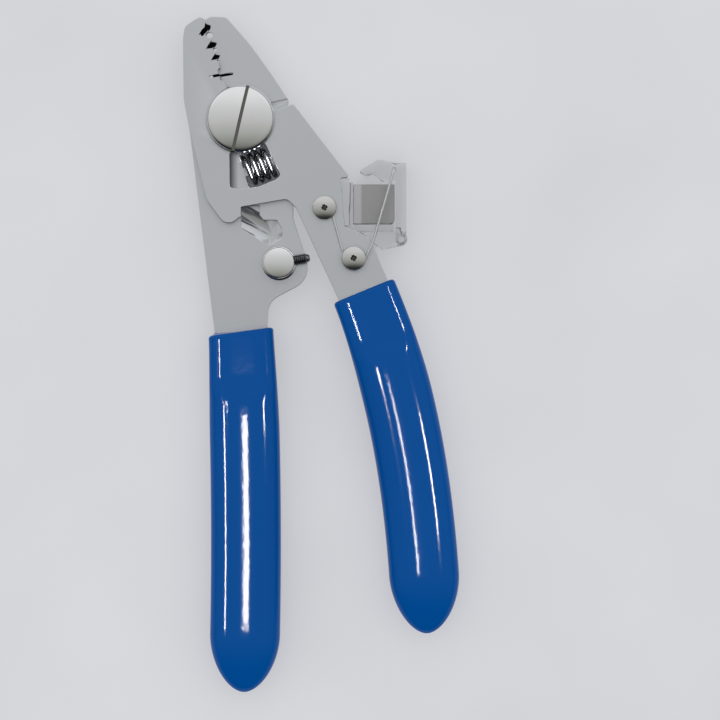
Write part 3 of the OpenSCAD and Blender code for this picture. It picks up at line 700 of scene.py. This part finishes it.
# ---- flap spring: a torsion spring round the lower screw, hooked into the flap
flapSpring = {"wire": 0.65, "coil": 2.75, "at": (28.3, -34.85), "z": 8.445, "rise": 0.68, "turns": 1.5, "start": 158,
              "anchor": (22.9, -23.6), "hook": (38.35, -12.6), "hole": 7.0, "perCoil": 54,
              "leg": ((31.7, -33.9, 0), (32.3, -32.7, 0.03), (33.1, -31, 0.05)),
              "bend": ((-0.35, -1.4, 0.05), (-0.2, -0.8, 0.03), (-0.08, -0.35, -0.06), (-0.02, -0.1, -0.25),
                       (0, 0, -0.6))}


def torsionSpring():
    s = flapSpring
    centre, z = Vector(s["at"]), s["z"]
    a0 = math.radians(s["start"])
    first = centre + s["coil"] * Vector((math.cos(a0), math.sin(a0)))
    points = [(s["anchor"][0], s["anchor"][1], z), (first.x - 0.3, first.y + 1, z), (first.x - 0.08, first.y + 0.3, z)]
    count = s["perCoil"]
    for i in range(2, count):
        a = a0 + 2 * math.pi * s["turns"] * i / count
        points.append((centre.x + s["coil"] * math.cos(a), centre.y + s["coil"] * math.sin(a),
                       z + s["rise"] * s["turns"] * i / count))
    top = z + s["rise"] * s["turns"]
    hx, hy = s["hook"]
    points += [(x, y, top + lift) for x, y, lift in s["leg"]]
    points += [(hx + x, hy + y, top + lift) for x, y, lift in s["bend"]] + [(hx, hy, s["hole"])]
    piece = wireShape("flap_spring_wire", points, s["wire"], springSteel)
    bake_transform(piece)
    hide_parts("wiper_spring")
    return piece


torsionSpring()
print("fasteners and flap spring made")

# ---- the CAD nodes that stay
for name, material in (("pivot_post", polishedNickel), ("pivot_washer", screwNickel), ("stop_post_ring", screwNickel),
                       ("upper_nut", screwNickel), ("lower_nut", screwNickel), ("upper_washer", screwNickel),
                       ("spring_bush", screwNickel), ("flap_hinge_pin", clearBox)):
    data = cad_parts[name].data
    data.materials.clear()
    data.materials.append(material)

# ---- floor: smooth pale plaster, painted; plain, with a faint mottle
floor = {"light": "#dcdde1", "shade": "#cfd0d4", "mottle": 60, "size": 3.0, "z": -0.0002, "own": 0.6,
         "window": (4.6, -11.7, 0), "windowReach": 7.5}


def makeFloor():
    mesh = bmesh.new()
    bmesh.ops.create_grid(mesh, x_segments=1, y_segments=1, size=floor["size"] / 2)
    bmesh.ops.translate(mesh, vec=(0, 0, floor["z"]), verts=mesh.verts)
    material = bpy.data.materials.new("paintedPlaster")
    material.use_nodes = True
    tree = material.node_tree
    tree.nodes.clear()
    where = addNode(tree, "ShaderNodeTexCoord").outputs["Object"]
    colour, value = patches(tree, where, floor["mottle"], floor["light"], floor["shade"], 2)
    matt = addNode(tree, "ShaderNodeBsdfDiffuse", links={"Color": colour})
    glow = addNode(tree, "ShaderNodeEmission", {"Strength": 1.0}, {"Color": colour})
    path = addNode(tree, "ShaderNodeLightPath")
    seen = math2(tree, "MAXIMUM", path.outputs["Is Camera Ray"], path.outputs["Is Glossy Ray"])
    seen = math2(tree, "MAXIMUM", seen, path.outputs["Is Transmission Ray"])
    # no glow down the spring's window
    outside = above(tree, distanceTo(tree, where, floor["window"]), floor["windowReach"])
    share = math2(tree, "MULTIPLY", allOf(tree, seen, outside), floor["own"])
    mix = addNode(tree, "ShaderNodeMixShader", links={0: share, 1: matt.outputs[0], 2: glow.outputs[0]})
    addNode(tree, "ShaderNodeOutputMaterial", links={"Surface": mix.outputs[0]})
    toObject(mesh, "floor", material)


makeFloor()

# ---- light: a soft even sky on the colours; in reflections bright over the jaws and dark over the handles
sky = {"stops": ((0.0, "#272727"), (0.18, "#2e2e2e"), (0.24, "#5a5a59"), (0.31, "#9a9b93"), (0.40, "#b9bab5"),
                 (0.5, "#cfcfcd"), (0.62, "#e0e0df"), (0.75, "#f9f9f9"), (1.0, "#ffffff")),
       "horizon": 0.15, "riseFrom": 0.05, "riseTo": 0.45, "near": 0.8, "far": 1.2}


def makeSky():
    world = bpy.data.worlds.new("softStudio")
    world.use_nodes = True
    world.cycles.sampling_method = "NONE"
    bpy.context.scene.world = world
    tree = world.node_tree
    tree.nodes.clear()
    aim = addNode(tree, "ShaderNodeSeparateXYZ", links={0: addNode(tree, "ShaderNodeTexCoord").outputs["Generated"]})
    along = addNode(tree, "ShaderNodeMapRange", {"From Min": -1, "From Max": 1}, {"Value": aim.outputs["Y"]})
    ramp = addNode(tree, "ShaderNodeValToRGB", links={"Fac": along.outputs[0]})
    band = ramp.color_ramp
    for stop, (position, colour) in zip(band.elements, (sky["stops"][0], sky["stops"][-1])):
        stop.color = srgb(colour)
    for position, colour in sky["stops"][1:-1]:
        band.elements.new(position).color = srgb(colour)
    rise = addNode(tree, "ShaderNodeMapRange", {"From Min": sky["riseFrom"], "From Max": sky["riseTo"],
                                                "To Min": sky["horizon"], "To Max": 1.0}, {"Value": aim.outputs["Z"]})
    mirrored = addNode(tree, "ShaderNodeVectorMath", {"operation": "SCALE"},
                       {0: ramp.outputs["Color"], "Scale": rise.outputs[0]})
    even = addNode(tree, "ShaderNodeMapRange", {"From Min": -1, "From Max": 1, "To Min": sky["near"],
                                                "To Max": sky["far"]}, {"Value": aim.outputs["Y"]})
    path = addNode(tree, "ShaderNodeLightPath")
    mix = addNode(tree, "ShaderNodeMix", {"data_type": "RGBA"},
                  {0: path.outputs["Is Diffuse Ray"], 6: mirrored.outputs[0], 7: even.outputs[0]})
    back = addNode(tree, "ShaderNodeBackground", {"Strength": 1.0}, {"Color": mix.outputs[2]})
    addNode(tree, "ShaderNodeOutputWorld", links={"Surface": back.outputs[0]})


makeSky()


# a lamp that only the glossy surfaces of the given pieces see
def reflectionLamp(name, at, size, power, pieces, turn=0):
    lamp = bpy.data.lights.new(name, "AREA")
    lamp.shape, lamp.size, lamp.size_y, lamp.energy = "RECTANGLE", size[0], size[1], power
    holder = bpy.data.objects.new(name, lamp)
    bpy.context.scene.collection.objects.link(holder)
    holder.location = Vector(at)
    holder.rotation_euler = (0, 0, math.radians(turn))
    holder.visible_camera = holder.visible_diffuse = holder.visible_transmission = False
    receivers = bpy.data.collections.new(name + "Receivers")
    for piece in pieces:
        receivers.objects.link(piece)
    holder.light_linking.receiver_collection = receivers


# long strips draw the thin highlights on the grips: (x, y, width, length, power, turn) in mm and watts
lampHeight = 0.75
strips = {"rear": ((-456, -138, 70, 111, 3.0, 0), (-17, -133, 30, 103, 1.2, 0), (-318, -64, 60, 27, 0.7, 0),
                   (433, -65, 70, 33, 0.9, 0)),
          "front": ((358, -68, 60, 92, 2.4, 9.8), (11, -128, 22, 92, 0.6, 9.8), (-133, -106, 50, 24, 0.5, 22.4),
                    (415, 108, 60, 31, 0.8, 22.4))}
for which, piece in (("rear", grips[0]), ("front", grips[1])):
    for i, (x, y, width, length, power, turn) in enumerate(strips[which]):
        reflectionLamp(f"{which}Strip{i}", (x * mm, y * mm, lampHeight), (width * mm, length * mm), power,
                       [piece], turn)
reflectionLamp("springStrip", (0.06, -0.5, lampHeight), (0.3, 2.6), 120.0, [jawCoil])
print("light made")

# ---- camera: straight down on the front face
view = {"centre": (0.029875, -0.06025), "width": 0.180, "plane": 0.008, "lens": 180, "sensor": 36}
lens = bpy.data.cameras.new("camera")
lens.lens, lens.sensor_width = view["lens"], view["sensor"]
lens.clip_start, lens.clip_end = 0.01, 20
camera = bpy.data.objects.new("camera", lens)
camera.location = (*view["centre"], view["plane"] + view["width"] * view["lens"] / view["sensor"])
bpy.context.scene.collection.objects.link(camera)
bpy.context.scene.camera = camera
bpy.context.scene.view_settings.view_transform = "Standard"

print("done")
